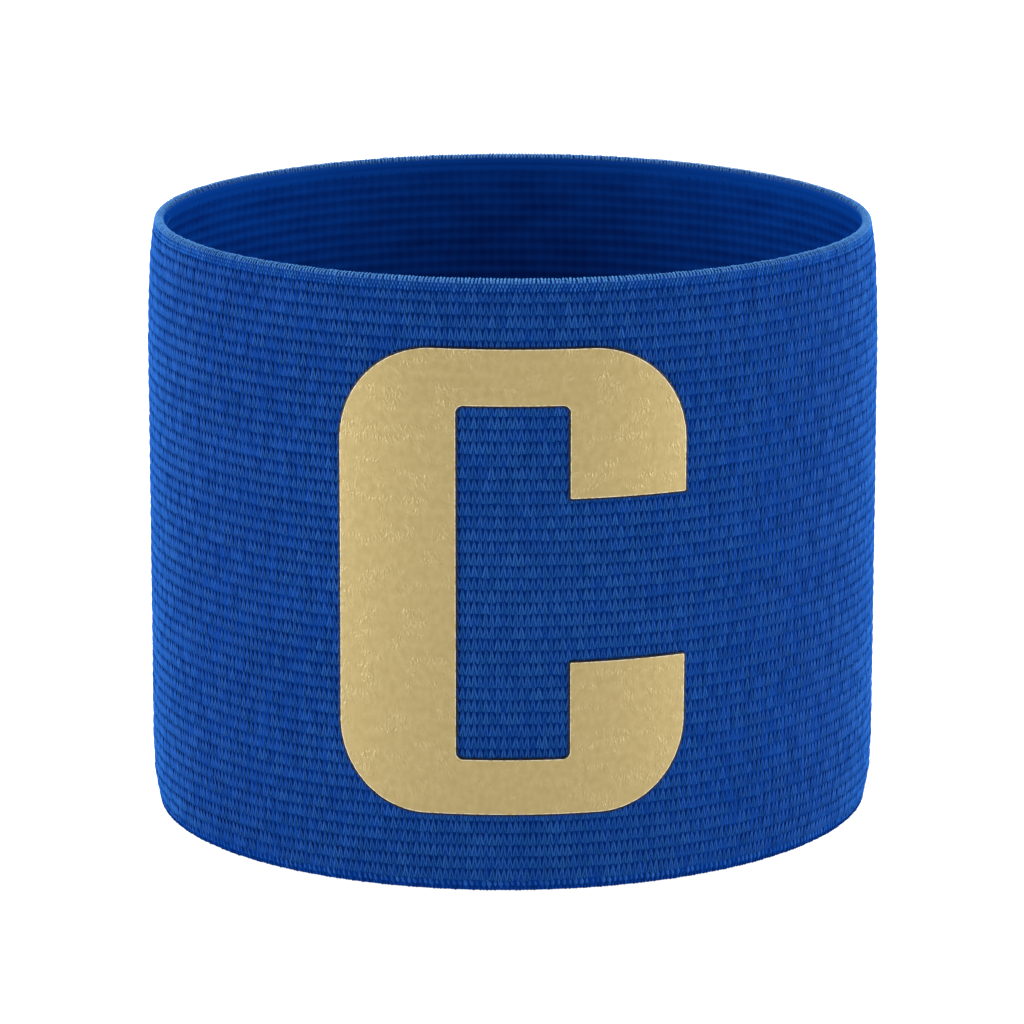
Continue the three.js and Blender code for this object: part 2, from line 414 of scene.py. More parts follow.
def loop_points(band, angle, z, out):
    """Points at angles and heights, standing out from the loop's outer face (or in, below zero)."""
    share = z / band.height
    draw = band.edge_draw * np.interp(share, SHAPE_HEIGHTS, SHAPE_DRAWS)
    oval = band.edge_oval * np.interp(share, SHAPE_HEIGHTS, SHAPE_OVALS)
    tuck = band.tuck * np.cos(angle) ** 2 * np.clip(1.0 - share / TUCKED_SHARE, 0.0, 1.0)
    radius = band.radius - draw - tuck + oval * np.cos(2.0 * (angle - band.oval_axis)) + out
    wave = band.wave * 4.0 * share * (1.0 - share) * np.sin(WAVES_ROUND * angle + WAVE_SLANT * share)
    lift = band.back_lift * share**2 * np.clip(np.sin(angle + BACK_TURN), 0.0, 1.0) ** BACK_NARROW
    high = z + wave * np.cos(angle - WAVE_FADE * share) + lift
    return np.stack(np.broadcast_arrays(radius * np.cos(angle), radius * np.sin(angle), high), axis=-1)


def unit(vectors):
    """Vectors brought to a length of 1."""
    return vectors / np.linalg.norm(vectors, axis=-1, keepdims=True)


def loop_directions(band, angle, z):
    """The directions along the cloth and out of it, at angles and heights."""
    turn = PROBE / band.radius
    along = unit(loop_points(band, angle + turn, z, 0.0) - loop_points(band, angle - turn, z, 0.0))
    up = unit(loop_points(band, angle, z + PROBE, 0.0) - loop_points(band, angle, z - PROBE, 0.0))
    return along, unit(np.cross(along, up))


def knit_rows(settings):
    """Middle height and height of each row, from the lower edge up."""
    knit = settings.knit
    heights = [knit.foot_row] + [knit.row_pitch] * knit.rows + [knit.neck_row, knit.binding_row]
    rows = []
    z = 0.0
    for height in heights:
        rows.append((z + height / 2.0, height))
        z += height
    return rows


def rim_foot(settings):
    """Height at which the upper selvedge starts."""
    middle, height = knit_rows(settings)[-1]
    return middle + height / 2.0


def ring_angles(count, off=0.0):
    """Even places round the loop, from the front on."""
    return FRONT + (np.arange(count) + off) * (FULL_TURN / count)


def wrapped(angle):
    """Angles brought between minus half a turn and half a turn."""
    return (angle + math.pi) % FULL_TURN - math.pi


def edge_curve(edge, turn):
    """How far across and up a point of an edge's rounding lies; the lower edge (edge = -1) is squarer."""
    across, up = math.cos(turn), math.sin(turn)
    power = 1.0 if edge > 0 else FOOT_SQUARE
    return math.copysign(abs(across) ** power, across), abs(up) ** power


def edge_slope(band, share):
    """How far the wall leans out for each metre of height."""
    draws = np.interp([share - SLOPE_PROBE, share + SLOPE_PROBE], SHAPE_HEIGHTS, SHAPE_DRAWS)
    return -band.edge_draw * (draws[1] - draws[0]) / (2.0 * SLOPE_PROBE * band.height)


# Meshes.


def add_piece(name, vertices, faces, materials, uv=None, face_materials=None):
    """A smooth mesh object from arrays, with the cloth's own UV map if its corners' places are given."""
    mesh = bpy.data.meshes.new(name)
    mesh.from_pydata(np.asarray(vertices).tolist(), [], [list(map(int, face)) for face in faces])
    for material in materials:
        mesh.materials.append(material)
    if face_materials is not None:
        mesh.polygons.foreach_set("material_index", face_materials)
    if uv is not None:
        layer = mesh.uv_layers.new(name="Cloth")
        layer.data.foreach_set("uv", np.asarray(uv, dtype=np.float32).ravel())
    mesh.shade_smooth()
    mesh.update()
    piece = bpy.data.objects.new(name, mesh)
    bpy.context.scene.collection.objects.link(piece)
    return piece


def add_ring(name, band, section, materials, section_materials):
    """Sweep a closed section of (out, z) points round the loop. Its UV map is in millimetres."""
    outs, heights = np.array(section).T
    steps, count = band.steps, len(section)
    angles = np.arange(steps) * FULL_TURN / steps
    vertices = loop_points(band, angles[:, None], heights[None, :], outs[None, :]).reshape(-1, 3)
    step, point = np.meshgrid(np.arange(steps), np.arange(count), indexing="ij")
    faces = [(step + right) % steps * count + (point + up) % count for right, up in ROUND_CORNERS]
    run = np.hypot(np.diff(outs, append=outs[0]), np.diff(heights, append=heights[0]))
    run = np.concatenate([[0.0], np.cumsum(run)]) / MM
    girth = FULL_TURN * band.radius / MM
    uv = [np.stack([(step + right) * girth / steps, run[point + up]], -1) for right, up in ROUND_CORNERS]
    faces = np.stack(faces, axis=-1).reshape(-1, 4)
    uv = np.stack(uv, axis=2).reshape(-1, 2)
    return add_piece(name, vertices, faces, materials, uv, np.tile(section_materials, steps))


def yarn_tube(path, wide, high, thread, stand, lean=0.0, mirror=1.0):
    """Yarn laid along a path, three points to a section. Local X runs along the cloth, Y up, Z out."""
    centres = np.array(
        [[(mirror * row["along"] + lean * row["up"]) * wide, row["up"] * high] for row in path]
    )
    ahead = np.gradient(centres, axis=0)
    side = unit(np.stack([-ahead[:, 1], ahead[:, 0]], axis=-1))
    vertices = []
    for row, centre, across in zip(path, centres, side):
        half = across * thread * row["width"] / 2.0
        vertices.append([*(centre + half), -stand])
        vertices.append([*centre, (row["rise"] - 1.0) * stand])
        vertices.append([*(centre - half), -stand])
    return vertices


def tube_faces(sections, sides=3, first=0):
    """Faces of a closed tube whose sections follow each other, with its ends capped."""
    faces = []
    for section in range(sections - 1):
        here = first + section * sides
        for side in range(sides):
            after = (side + 1) % sides
            faces.append([here + side, here + after, here + sides + after, here + sides + side])
    last = first + (sections - 1) * sides
    faces.append([first + side for side in reversed(range(sides))])
    faces.append([last + side for side in range(sides)])
    return faces


def shape_object(name, vertices, faces):
    """A mesh object of yarn tubes that only Geometry Nodes show.

    The undersides and ends, which nobody sees, are flat, so that they don't bend the shading of the rest.
    """
    mesh = bpy.data.meshes.new(name)
    mesh.from_pydata(vertices, [], faces)
    rounded = [len(face) == 4 and any(corner % 3 == 1 for corner in face) for face in faces]
    mesh.polygons.foreach_set("use_smooth", rounded)
    return bpy.data.objects.new(name, mesh)


def stitch_shape(name, knit, pitch, lean):
    """One knitted loop, with the end of the loop above between its legs."""
    vertices, faces = [], []
    for path, mirror in ((LEG_PATH, 1.0), (LEG_PATH, -1.0), (CORE_PATH, 1.0)):
        faces += tube_faces(len(path), first=len(vertices))
        vertices += yarn_tube(path, pitch, knit.row_pitch, knit.yarn_width, knit.yarn_rise, lean, mirror)
    return shape_object(name, vertices, faces)


def strand_shape(name, settings, width, height, lean=0.0):
    """A single short strand of yarn."""
    vertices = yarn_tube(STRAND_PATH, width, height, width, settings.knit.yarn_rise, lean)
    return shape_object(name, vertices, tube_faces(len(STRAND_PATH)))


def wrap_shape(name, settings, edge, lean, first):
    """One turn of yarn over the upper edge (edge = 1) or the lower edge (edge = -1).

    Over the upper edge it is crimped: every second section is pinched, from the first or the next one on.
    """
    band, selvedge = settings.band, settings.selvedge
    radius = band.wall / 2.0
    slope = edge_slope(band, (band.height - radius) / band.height if edge > 0 else radius / band.height)
    stand = selvedge.wrap_rise if edge > 0 else selvedge.foot_rise
    vertices = []
    for step in range(WRAP_STEPS + 1):
        across, up = edge_curve(edge, math.pi * step / WRAP_STEPS)
        plump = WRAP_PINCH if edge > 0 and (step + first) % 2 else 1.0
        half = plump * selvedge.wrap_width / 2.0
        middle = lean * selvedge.wrap_width * across
        for along, lift in ((-half, -stand), (0.0, (plump - 1.0) * stand), (half, -stand)):
            high = (radius + lift) * up * edge
            out = (radius + lift) * across - radius
            vertices.append([(middle + along) * edge, high, out + slope * high])
    return shape_object(name, vertices, tube_faces(WRAP_STEPS + 1))


# Scattering by Geometry Nodes.


def scatter_tree(name, collection, material):
    """A node group that sets one of a few yarn shapes on each point and makes the result one mesh."""
    tree = bpy.data.node_groups.new(name, "GeometryNodeTree")
    for row in SCATTER_INPUTS:
        kind = "NodeSocket" + row["kind"]
        tree.interface.new_socket(name=row["name"], in_out="INPUT", socket_type=kind)
    tree.interface.new_socket(name="Geometry", in_out="OUTPUT", socket_type="NodeSocketGeometry")
    given = add_node(tree, "NodeGroupInput").outputs

    def made(kind, settings, inputs):
        return add_node(tree, kind, settings, inputs).outputs[0]

    def named(attribute):
        return made("GeometryNodeInputNamedAttribute", {"data_type": "FLOAT_VECTOR"}, {"Name": attribute})

    def seed(draw):
        return maths(tree, "ADD", given["Seed"], draw)

    def random_vector(low, high, draw):
        inputs = {"Min": low, "Max": high, "Seed": seed(draw)}
        return made("FunctionNodeRandomValue", {"data_type": "FLOAT_VECTOR"}, inputs)

    def spread(centre, amount):
        return [maths(tree, operation, centre, amount) for operation in ("SUBTRACT", "ADD")]

    def changed(change, instances, **inputs):
        inputs.update({"Instances": instances, "Local Space": True})
        return made(f"GeometryNode{change}Instances", None, inputs)

    facing = made("FunctionNodeAlignRotationToVector", {"axis": "Z"}, {"Vector": named("facing")})
    inputs = {"Rotation": facing, "Vector": named("along")}
    aligned = made("FunctionNodeAlignRotationToVector", {"axis": "X", "pivot_axis": "Z"}, inputs)
    inputs = {"Collection": collection, "Separate Children": True, "Reset Children": True}
    shapes = made("GeometryNodeCollectionInfo", {"transform_space": "ORIGINAL"}, inputs)
    last = maths(tree, "SUBTRACT", given["Shapes"], 1.0)
    inputs = {4: 0, 5: last, "Seed": given["Seed"]}
    pick = add_node(tree, "FunctionNodeRandomValue", {"data_type": "INT"}, inputs).outputs[2]
    inputs = {
        "Points": given["Geometry"],
        "Instance": shapes,
        "Pick Instance": True,
        "Instance Index": pick,
        "Rotation": aligned,
        "Scale": named("size"),
    }
    moved = made("GeometryNodeInstanceOnPoints", None, inputs)
    low, high = (made("ShaderNodeCombineXYZ", None, {"Z": end}) for end in spread(0.0, given["Turn"]))
    turn = made("FunctionNodeEulerToRotation", None, {"Euler": random_vector(low, high, TURN_DRAW)})
    moved = changed("Rotate", moved, Rotation=turn)
    moved = changed("Scale", moved, Scale=random_vector(*spread(1.0, given["Unevenness"]), SIZE_DRAW))
    moved = changed("Translate", moved, Translation=random_vector(*spread(0.0, given["Shift"]), SHIFT_DRAW))
    inputs = {2: 0.0, 3: 1.0, "Seed": seed(TONE_DRAW)}
    tone = add_node(tree, "FunctionNodeRandomValue", {"data_type": "FLOAT"}, inputs).outputs[1]
    inputs = {"Geometry": moved, "Name": "tone", "Value": tone}
    moved = made("GeometryNodeStoreNamedAttribute", {"data_type": "FLOAT", "domain": "INSTANCE"}, inputs)
    real = made("GeometryNodeRealizeInstances", None, {"Geometry": moved})
    real = made("GeometryNodeSetMaterial", None, {"Geometry": real, "Material": material})
    add_node(tree, "NodeGroupOutput", None, {0: real})
    return tree


def carrier_table(band, angle, z, out, inside=False):
    """Where instances sit on the loop, which way they run and face, and their sizes."""
    along, facing = loop_directions(band, angle, z)
    side = -1.0 if inside else 1.0
    return {
        "point": loop_points(band, angle, z, out),
        "along": side * along,
        "facing": side * facing,
        "size": np.ones((len(angle), 3)),
    }


def scatter(name, settings, carriers, shapes, material, evenness=1.0):
    """Sew yarn shapes on carriers, as one finished piece; evenness scales what is random.

    What the nodes make is kept as a plain mesh, and the carrier goes with its modifier.
    """
    collection = bpy.data.collections.new(name + "_shapes")
    for shape in shapes:
        collection.objects.link(shape)
    tree = scatter_tree(name, collection, material)
    mesh = bpy.data.meshes.new(name + "_points")
    mesh.from_pydata(carriers["point"].tolist(), [], [])
    for attribute in ("along", "facing", "size"):
        layer = mesh.attributes.new(attribute, "FLOAT_VECTOR", "POINT")
        values = np.ascontiguousarray(carriers[attribute], dtype=np.float32)
        layer.data.foreach_set("vector", values.ravel())
    carrier = bpy.data.objects.new(name + "_carrier", mesh)
    bpy.context.scene.collection.objects.link(carrier)
    modifier = carrier.modifiers.new("Scatter", "NODES")
    modifier.node_group = tree
    knit = settings.knit
    inputs = {
        "Turn": knit.turn * evenness,
        "Unevenness": knit.unevenness * evenness,
        "Shift": knit.shift * evenness,
        "Shapes": len(shapes),
        "Seed": knit.seed,
    }
    for key, value in inputs.items():
        modifier[tree.interface.items_tree[key].identifier] = value
    graph = bpy.context.evaluated_depsgraph_get()
    mesh = bpy.data.meshes.new_from_object(carrier.evaluated_get(graph), depsgraph=graph)
    mesh.name = name
    piece = bpy.data.objects.new(name, mesh)
    bpy.context.scene.collection.objects.link(piece)
    bpy.data.objects.remove(carrier)
    for shape in shapes:
        bpy.data.objects.remove(shape)
    bpy.data.collections.remove(collection)
    bpy.data.node_groups.remove(tree)
    return fasten(piece, "elastic")


def fasten(piece, slot, *nodes):
    """Hand a finished piece to the frame: its body and the nodes it stands for. The slot is not used."""
    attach(piece, "root")
    if nodes:
        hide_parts(*nodes)
    return piece


# Outline of the letter.


def rounded_outline(corners):
    """A counterclockwise outline through (x, y, radius) right-angled corners, each rounded."""
    points = []
    count = len(corners)
    for index, (x, y, radius) in enumerate(corners):
        at = Vector((x, y))
        back = (Vector(corners[index - 1][:2]) - at).normalized() * radius
        ahead = (Vector(corners[(index + 1) % count][:2]) - at).normalized() * radius
        centre = at + back + ahead
        for step in range(CORNER_STEPS + 1):
            turn = math.pi / 2.0 * step / CORNER_STEPS
            points.append(centre - ahead * math.cos(turn) - back * math.sin(turn))
    return np.array([point[:] for point in points])


def letter_outline(settings):
    """The letter laid flat: x along the cloth from its middle, y the height."""
    letter = settings.letter
    left, right = -letter.width / 2.0, letter.width / 2.0
    middle = settings.band.height / 2.0 + letter.rise
    foot, head = middle - letter.height / 2.0, middle + letter.height / 2.0
    inner_left, inner_right = left + letter.stem, right - letter.arm
    inner_foot, inner_head = foot + letter.bar, head - letter.bar
    mouth_foot = middle + letter.mouth_rise - letter.mouth / 2.0
    mouth_head = mouth_foot + letter.mouth
    return rounded_outline(
        [
            (right, foot, letter.heel),
            (right, mouth_foot, letter.tip_radius),
            (inner_right, mouth_foot, letter.tip_radius),
            (inner_right, inner_foot, letter.counter_radius),
            (inner_left, inner_foot, letter.counter_radius),
            (inner_left, inner_head, letter.counter_radius),
            (inner_right, inner_head, letter.counter_radius),
            (inner_right, mouth_head, letter.tip_radius),
            (right, mouth_head, letter.tip_radius),
            (right, head, letter.shoulder),
            (left, head, letter.shoulder),
            (left, foot, letter.heel),
        ]
    )


def depth_inside(points, outline):
    """How deep points lie inside a closed outline; below zero outside it."""
    start, end = outline, np.roll(outline, -1, axis=0)
    run = end - start
    away = points[:, None, :] - start[None, :, :]
    share = np.clip((away * run).sum(-1) / (run * run).sum(-1), 0.0, 1.0)
    distance = np.linalg.norm(away - share[..., None] * run, axis=-1).min(axis=1)
    x, y = points[:, 0:1], points[:, 1:2]
    crosses = (start[None, :, 1] > y) != (end[None, :, 1] > y)
    rise = np.where(run[:, 1] == 0.0, 1.0, run[:, 1])
    at = start[None, :, 0] + (y - start[None, :, 1]) * run[None, :, 0] / rise[None, :]
    inside = (crosses & (x < at)).sum(axis=1) % 2 == 1
    return np.where(inside, distance, -distance)


def resampled(outline, step):
    """The outline with its points spaced evenly, about a step apart."""
    closed = np.vstack([outline, outline[:1]])
    lengths = np.concatenate([[0.0], np.cumsum(np.linalg.norm(np.diff(closed, axis=0), axis=1))])
    count = int(lengths[-1] / step)
    at = np.arange(count) * lengths[-1] / count
    return np.stack([np.interp(at, lengths, closed[:, axis]) for axis in (0, 1)], axis=-1)


def outward(outline):
    """The outward direction at each point of a counterclockwise outline."""
    run = np.roll(outline, -1, axis=0) - np.roll(outline, 1, axis=0)
    return unit(np.stack([run[:, 1], -run[:, 0]], axis=-1))


# Materials.


def new_material(name, roughness, **uniform):
    """An empty material with one shader, whose even values are set on the shader itself."""
    material = bpy.data.materials.new(name)
    material.use_nodes = True
    tree = material.node_tree
    tree.nodes.clear()
    inputs = {"Roughness": roughness}
    inputs.update({key.replace("_", " "): value for key, value in uniform.items()})
    shader = add_node(tree, "ShaderNodeBsdfPrincipled", None, inputs)
    add_node(tree, "ShaderNodeOutputMaterial", None, {"Surface": shader.outputs["BSDF"]})
    return material, tree, shader


def object_place(tree):
    """The place on the object, in metres."""
    return add_node(tree, "ShaderNodeTexCoord").outputs["Object"]


def cloth_place(tree):
    """The place along the cloth and up it, in millimetres."""
    return add_node(tree, "ShaderNodeUVMap", {"uv_map": "Cloth"}).outputs["UV"]


def height_share(tree, low, high, least=0.0):
    """How far the height has come from a low one to a high one, from the least share up."""
    height = add_node(tree, "ShaderNodeSeparateXYZ", None, {0: object_place(tree)}).outputs["Z"]
    limits = {"Value": height, "From Min": low, "From Max": high, "To Min": least}
    return add_node(tree, "ShaderNodeMapRange", None, limits).outputs[0]


def mixed(tree, share, low, high):
    """Blend two colours by a share."""
    node = add_node(tree, "ShaderNodeMix", {"data_type": "RGBA"}, {0: share, 6: low, 7: high})
    return node.outputs[2]


def painted(tree, shader, share, low, high):
    """Give a shader two colours, blended by a share."""
    tree.links.new(mixed(tree, share, low, high), shader.inputs["Base Color"])


def blended(tree, share, low, high):
    """Blend two values by a share."""
    node = add_node(tree, "ShaderNodeMix", {"data_type": "FLOAT"}, {0: share, 2: low, 3: high})
    return node.outputs[0]


def bumped(tree, shader, height, strength, distance):
    """Raise a surface by a height, up to a distance."""
    inputs = {"Strength": strength, "Distance": distance, "Height": height}
    bump = add_node(tree, "ShaderNodeBump", None, inputs)
    tree.links.new(bump.outputs["Normal"], shader.inputs["Normal"])


def bands(tree, place, direction, pitch, wander=0.0, crest=0.0):
    """Even bands across a direction, a pitch apart, in millimetres; one has its crest at a place."""
    inputs = {
        "Vector": place,
        "Scale": FULL_TURN / 20.0 / pitch,
        "Distortion": wander,
        "Phase Offset": math.pi - FULL_TURN * crest / pitch,
    }
    kind = {"wave_type": "BANDS", "bands_direction": direction}
    return add_node(tree, "ShaderNodeTexWave", kind, inputs).outputs["Fac"]


def row_bands(tree, knit, crest):
    """Bands that follow the rows of the knit, whose crest is a share of a row above its foot."""
    inputs = {0: object_place(tree), "Scale": 1.0 / MM}
    place = add_node(tree, "ShaderNodeVectorMath", {"operation": "SCALE"}, inputs).outputs[0]
    crest = (knit.foot_row + crest * knit.row_pitch) / MM
    return bands(tree, place, "Z", knit.row_pitch / MM, 0.0, crest)


def patches_over(tree, size):
    """Soft patches of a size over the object."""
    inputs = {"Vector": object_place(tree), "Scale": 1.0 / size, "Detail": PATCH_DETAIL}
    return add_node(tree, "ShaderNodeTexNoise", None, inputs).outputs["Fac"]


def noise_over(tree, cloth, name):
    """One of the noises in the table, over the cloth."""
    row = NOISES[name]
    scale = (row["across"], row["up"], 1.0)
    scaled = add_node(tree, "ShaderNodeMapping", None, {"Vector": cloth, "Scale": scale}).outputs[0]
    inputs = {"Vector": scaled, "Scale": 1.0, "Detail": row["detail"]}
    noise = add_node(tree, "ShaderNodeTexNoise", None, inputs).outputs["Fac"]
    limits = {"Value": noise, "From Min": row["low"], "From Max": row["high"]}
    return add_node(tree, "ShaderNodeMapRange", None, limits).outputs[0]


def polyester_yarn(settings, name, light, dark, edge_highlight=False):
    """Air-textured polyester yarn: matt, each stitch a little lighter or darker than the next.

    Its loose fibres catch some light at a glancing angle. With edge_highlight, the yarn is painted paler
    towards the very top of the band, a painted highlight where the yarn over the edge catches the light
    from above.
    """
    fuzz = {"Sheen_Weight": 0.15, "Sheen_Roughness": 0.3, "Sheen_Tint": list(settings.colours.fuzz)}
    material, tree, shader = new_material(name, roughness=0.8, Specular_IOR_Level=0.0, **fuzz)
    tone = add_node(tree, "ShaderNodeAttribute", {"attribute_name": "tone"})
    share = blended(tree, YARN_PATCHES, tone.outputs["Fac"], patches_over(tree, YARN_PATCH))
    if edge_highlight:
        # Painted highlight: paler towards the very top of the band, where the yarn over the edge catches
        # the light.
        top = settings.band.height
        edge = height_share(tree, top + HIGHLIGHT_LOW, top + HIGHLIGHT_HIGH, HIGHLIGHT_LEAST)
        share = maths(tree, "MULTIPLY", edge, blended(tree, 0.5, share, 1.0))
    painted(tree, shader, share, getattr(settings.colours, dark), getattr(settings.colours, light))
    return material


def shaded_ground_yarn(settings):
    """Polyester over rubber thread, deep between the stitches: dull, and painted nearly navy as painted
    shade for the shadow between the stitches.

    The painted shade is lighter in the lower half of each row, where the end of the loop above lies on it.
    """
    colours = settings.colours
    name = "Covered rubber thread, ground of the knit, painted shade"
    material, tree, shader = new_material(name, roughness=0.9, Specular_IOR_Level=0.0)
    shade = mixed(tree, patches_over(tree, GROUND_PATCH), colours.ground, colours.inside_groove_shade)
    # Painted shade, lighter in the lower half of each row.
    share = blended(tree, row_bands(tree, settings.knit, GROUND_CREST), 0.0, GROUND_PALE)
    painted(tree, shader, share, shade, colours.yarn_dark)
    return material


def inside_knit(settings):
    """The plain inner face of the knit: soft ribs crossed by short floats of yarn. Its grooves are painted
    darker as painted shade, and it is painted paler near its upper edge as painted light, where the rolled
    edge is lit.
    """
    colours, band, knit = settings.colours, settings.band, settings.knit
    name = "Knitted polyester, inner face"
    material, tree, shader = new_material(name, roughness=0.9, Specular_IOR_Level=0.0)
    cloth = cloth_place(tree)
    girth = FULL_TURN * band.radius / MM
    floats = bands(tree, cloth, "X", girth / settings.selvedge.beads, FLOAT_WANDER)
    ribs = row_bands(tree, knit, INNER_CREST)
    ribs = blended(tree, INNER_PATCHES, ribs, noise_over(tree, cloth, "inner_patches"))
    share = blended(tree, INNER_FLOATS, ribs, floats)
    # Painted light: the inner face is painted paler towards its rolled upper edge, where more light reaches
    # it.
    lit_near_edge = height_share(tree, *(limit * band.height for limit in INNER_LIT_EDGE))
    # Painted shade: the grooves between the ribs are painted darker.
    shade = mixed(tree, share, colours.inside_groove_shade, colours.inside_light)
    painted(tree, shader, lit_near_edge, shade, colours.inside_light)
    bumped(tree, shader, share, strength=0.5, distance=0.1 * MM)
    return material


def gold_film(settings):
    """Polyurethane transfer film with gold pigment: satin, with the knit pressed faintly into it.

    It shows short upright marks where the loops of the knit push from behind, in patches. Its colour
    follows its relief: the marks and raised streaks are painted paler as painted highlight and the hollows
    darker as painted shade, partly the pigment's own mottle.
    """
    colours = settings.colours
    name = "Gold pigment transfer film, satin, painted relief shading"
    material, tree, shader = new_material(name, roughness=0.42, Metallic=0.35)
    cloth = cloth_place(tree)
    rows = bands(tree, cloth, "Y", settings.knit.row_pitch / MM, ROW_WANDER)
    patches = noise_over(tree, cloth, "film_patches")
    loops = noise_over(tree, cloth, "film_loops")
    streaks = noise_over(tree, cloth, "film_streaks")
    marks = maths(tree, "MULTIPLY", loops, patches)
    marks = maths(tree, "MULTIPLY", marks, blended(tree, FILM_CALM, 1.0, rows))
    shade = blended(tree, FILM_CALM, streaks, 0.5)
    # Painted highlight on the raised marks, painted shade in the hollows.
    lit = maths(tree, "MULTIPLY_ADD", marks, FILM_LIT, shade, clamp=True)
    painted(tree, shader, lit, colours.gold_dark, colours.gold_light)
    height = blended(tree, FILM_MARKS, streaks, marks)
    bumped(tree, shader, height, strength=0.8, distance=0.09 * MM)
    return material


def film_edge_highlight(settings):
    """The cut edge of the film, which the press has thinned. It is painted paler as a painted highlight
    where the edge catches the light, broken up along its length.
    """
    colours = settings.colours
    material, tree, shader = new_material("Cut edge of the transfer film, painted highlight", roughness=0.5, Metallic=0.1)
    nicks = noise_over(tree, cloth_place(tree), "cut_nicks")
    # Painted highlight along the cut edge.
    painted(tree, shader, nicks, colours.gold_light, colours.cut_edge_highlight)
    return material


def adhesive_line(settings):
    """Hot-melt adhesive squeezed out under the film: nearly black, a little glossy."""
    colours = settings.colours
    material, tree, shader = new_material("Hot-melt adhesive", roughness=0.5, Specular_IOR_Level=0.2)
    specks = noise_over(tree, cloth_place(tree), "adhesive_specks")
    painted(tree, shader, specks, colours.adhesive, colours.ground)
    return material


def paper_sweep(settings):
    """Matt white paper, lit from behind."""
    colours = settings.colours
    lit = {"Emission_Color": list(colours.paper), "Emission_Strength": settings.stage.glow}
    name = "Matt white paper, lit from behind"
    return new_material(name, roughness=0.9, Base_Color=list(colours.paper_shade), **lit)[0]


# Operators, one for each piece or group of like pieces.


class ARMBAND_OT_stage(bpy.types.Operator):
    """Lay the pale floor, set the soft lights and place the camera"""

    bl_idname = "armband.stage"
    bl_label = "Stage"

    def execute(self, context):
        scene = context.scene
        settings = scene.armband
        stage = settings.stage
        scene.view_settings.view_transform = "Standard"
        half = stage.sweep / 2.0
        corners = [[-half, -half, 0.0], [half, -half, 0.0], [half, half, 0.0], [-half, half, 0.0]]
        add_piece("paper_sweep", corners, [[0, 1, 2, 3]], [paper_sweep(settings)])
        for row in LIGHTS:
            add_soft_box(row, settings.band.height / 2.0)
        world = bpy.data.worlds.new("Studio white")
        world.use_nodes = True
        world.node_tree.nodes.clear()
        glow = add_node(world.node_tree, "ShaderNodeBackground", None, {"Strength": stage.sky})
        add_node(world.node_tree, "ShaderNodeOutputWorld", None, {"Surface": glow.outputs[0]})
        scene.world = world
        camera_data = bpy.data.cameras.new("camera")
        camera_data.sensor_width = stage.sensor
        camera_data.lens = stage.lens
        camera_data.shift_x = stage.shift
        camera = bpy.data.objects.new("camera", camera_data)
        camera.location = (0.0, -stage.distance, stage.height)
        camera.rotation_euler = (math.pi / 2.0 - stage.pitch, 0.0, 0.0)
        scene.collection.objects.link(camera)
        scene.camera = camera
        return {"FINISHED"}


def add_soft_box(row, aim_height):
    """A square soft box that faces the middle of the armband."""
    light = bpy.data.lights.new(row["name"], "AREA")
    light.size = row["size"]
    light.energy = row["power"]
    lamp = bpy.data.objects.new(row["name"], light)
    lamp.location = row["place"]
    aim = Vector((0.0, 0.0, aim_height)) - Vector(row["place"])
    lamp.rotation_euler = aim.to_track_quat("-Z", "Y").to_euler()
    bpy.context.scene.collection.objects.link(lamp)


class ARMBAND_OT_face_stitches(bpy.types.Operator):
    """Knit the outer face, row by row, except where the film hides it"""

    bl_idname = "armband.face_stitches"
    bl_label = "Face stitches"

    def execute(self, context):
        settings = context.scene.armband
        band, knit = settings.band, settings.knit
        turn = FULL_TURN / knit.stitches
        rows = knit_rows(settings)[1:-1]
        outline = letter_outline(settings)
        yarn = "Air-textured polyester yarn, royal blue"
        material = polyester_yarn(settings, yarn, "yarn_light", "yarn_dark")
        for name, chosen in zip(FACE_PIECES, np.array_split(np.array(rows), len(FACE_PIECES))):
            angle = np.tile(ring_angles(knit.stitches, 0.5), len(chosen))
            middle, height = np.repeat(chosen, knit.stitches, axis=0).T
            flat = np.stack([wrapped(angle - FRONT) * band.radius, middle], axis=-1)
            clear = np.abs(wrapped(angle - settings.selvedge.seam_place)) > 0.5 * turn
            seen = clear & (depth_inside(flat, outline) < HIDDEN_ROWS * knit.row_pitch)
            carriers = carrier_table(band, angle[seen], middle[seen], knit.loft)
            carriers["size"][:, 1] = height[seen] / knit.row_pitch
            shapes = [
                stitch_shape(f"{name}_{index}", knit, turn * band.radius, lean)
                for index, lean in enumerate(STITCH_LEANS)
            ]
            scatter(name, settings, carriers, shapes, material)
        return {"FINISHED"}


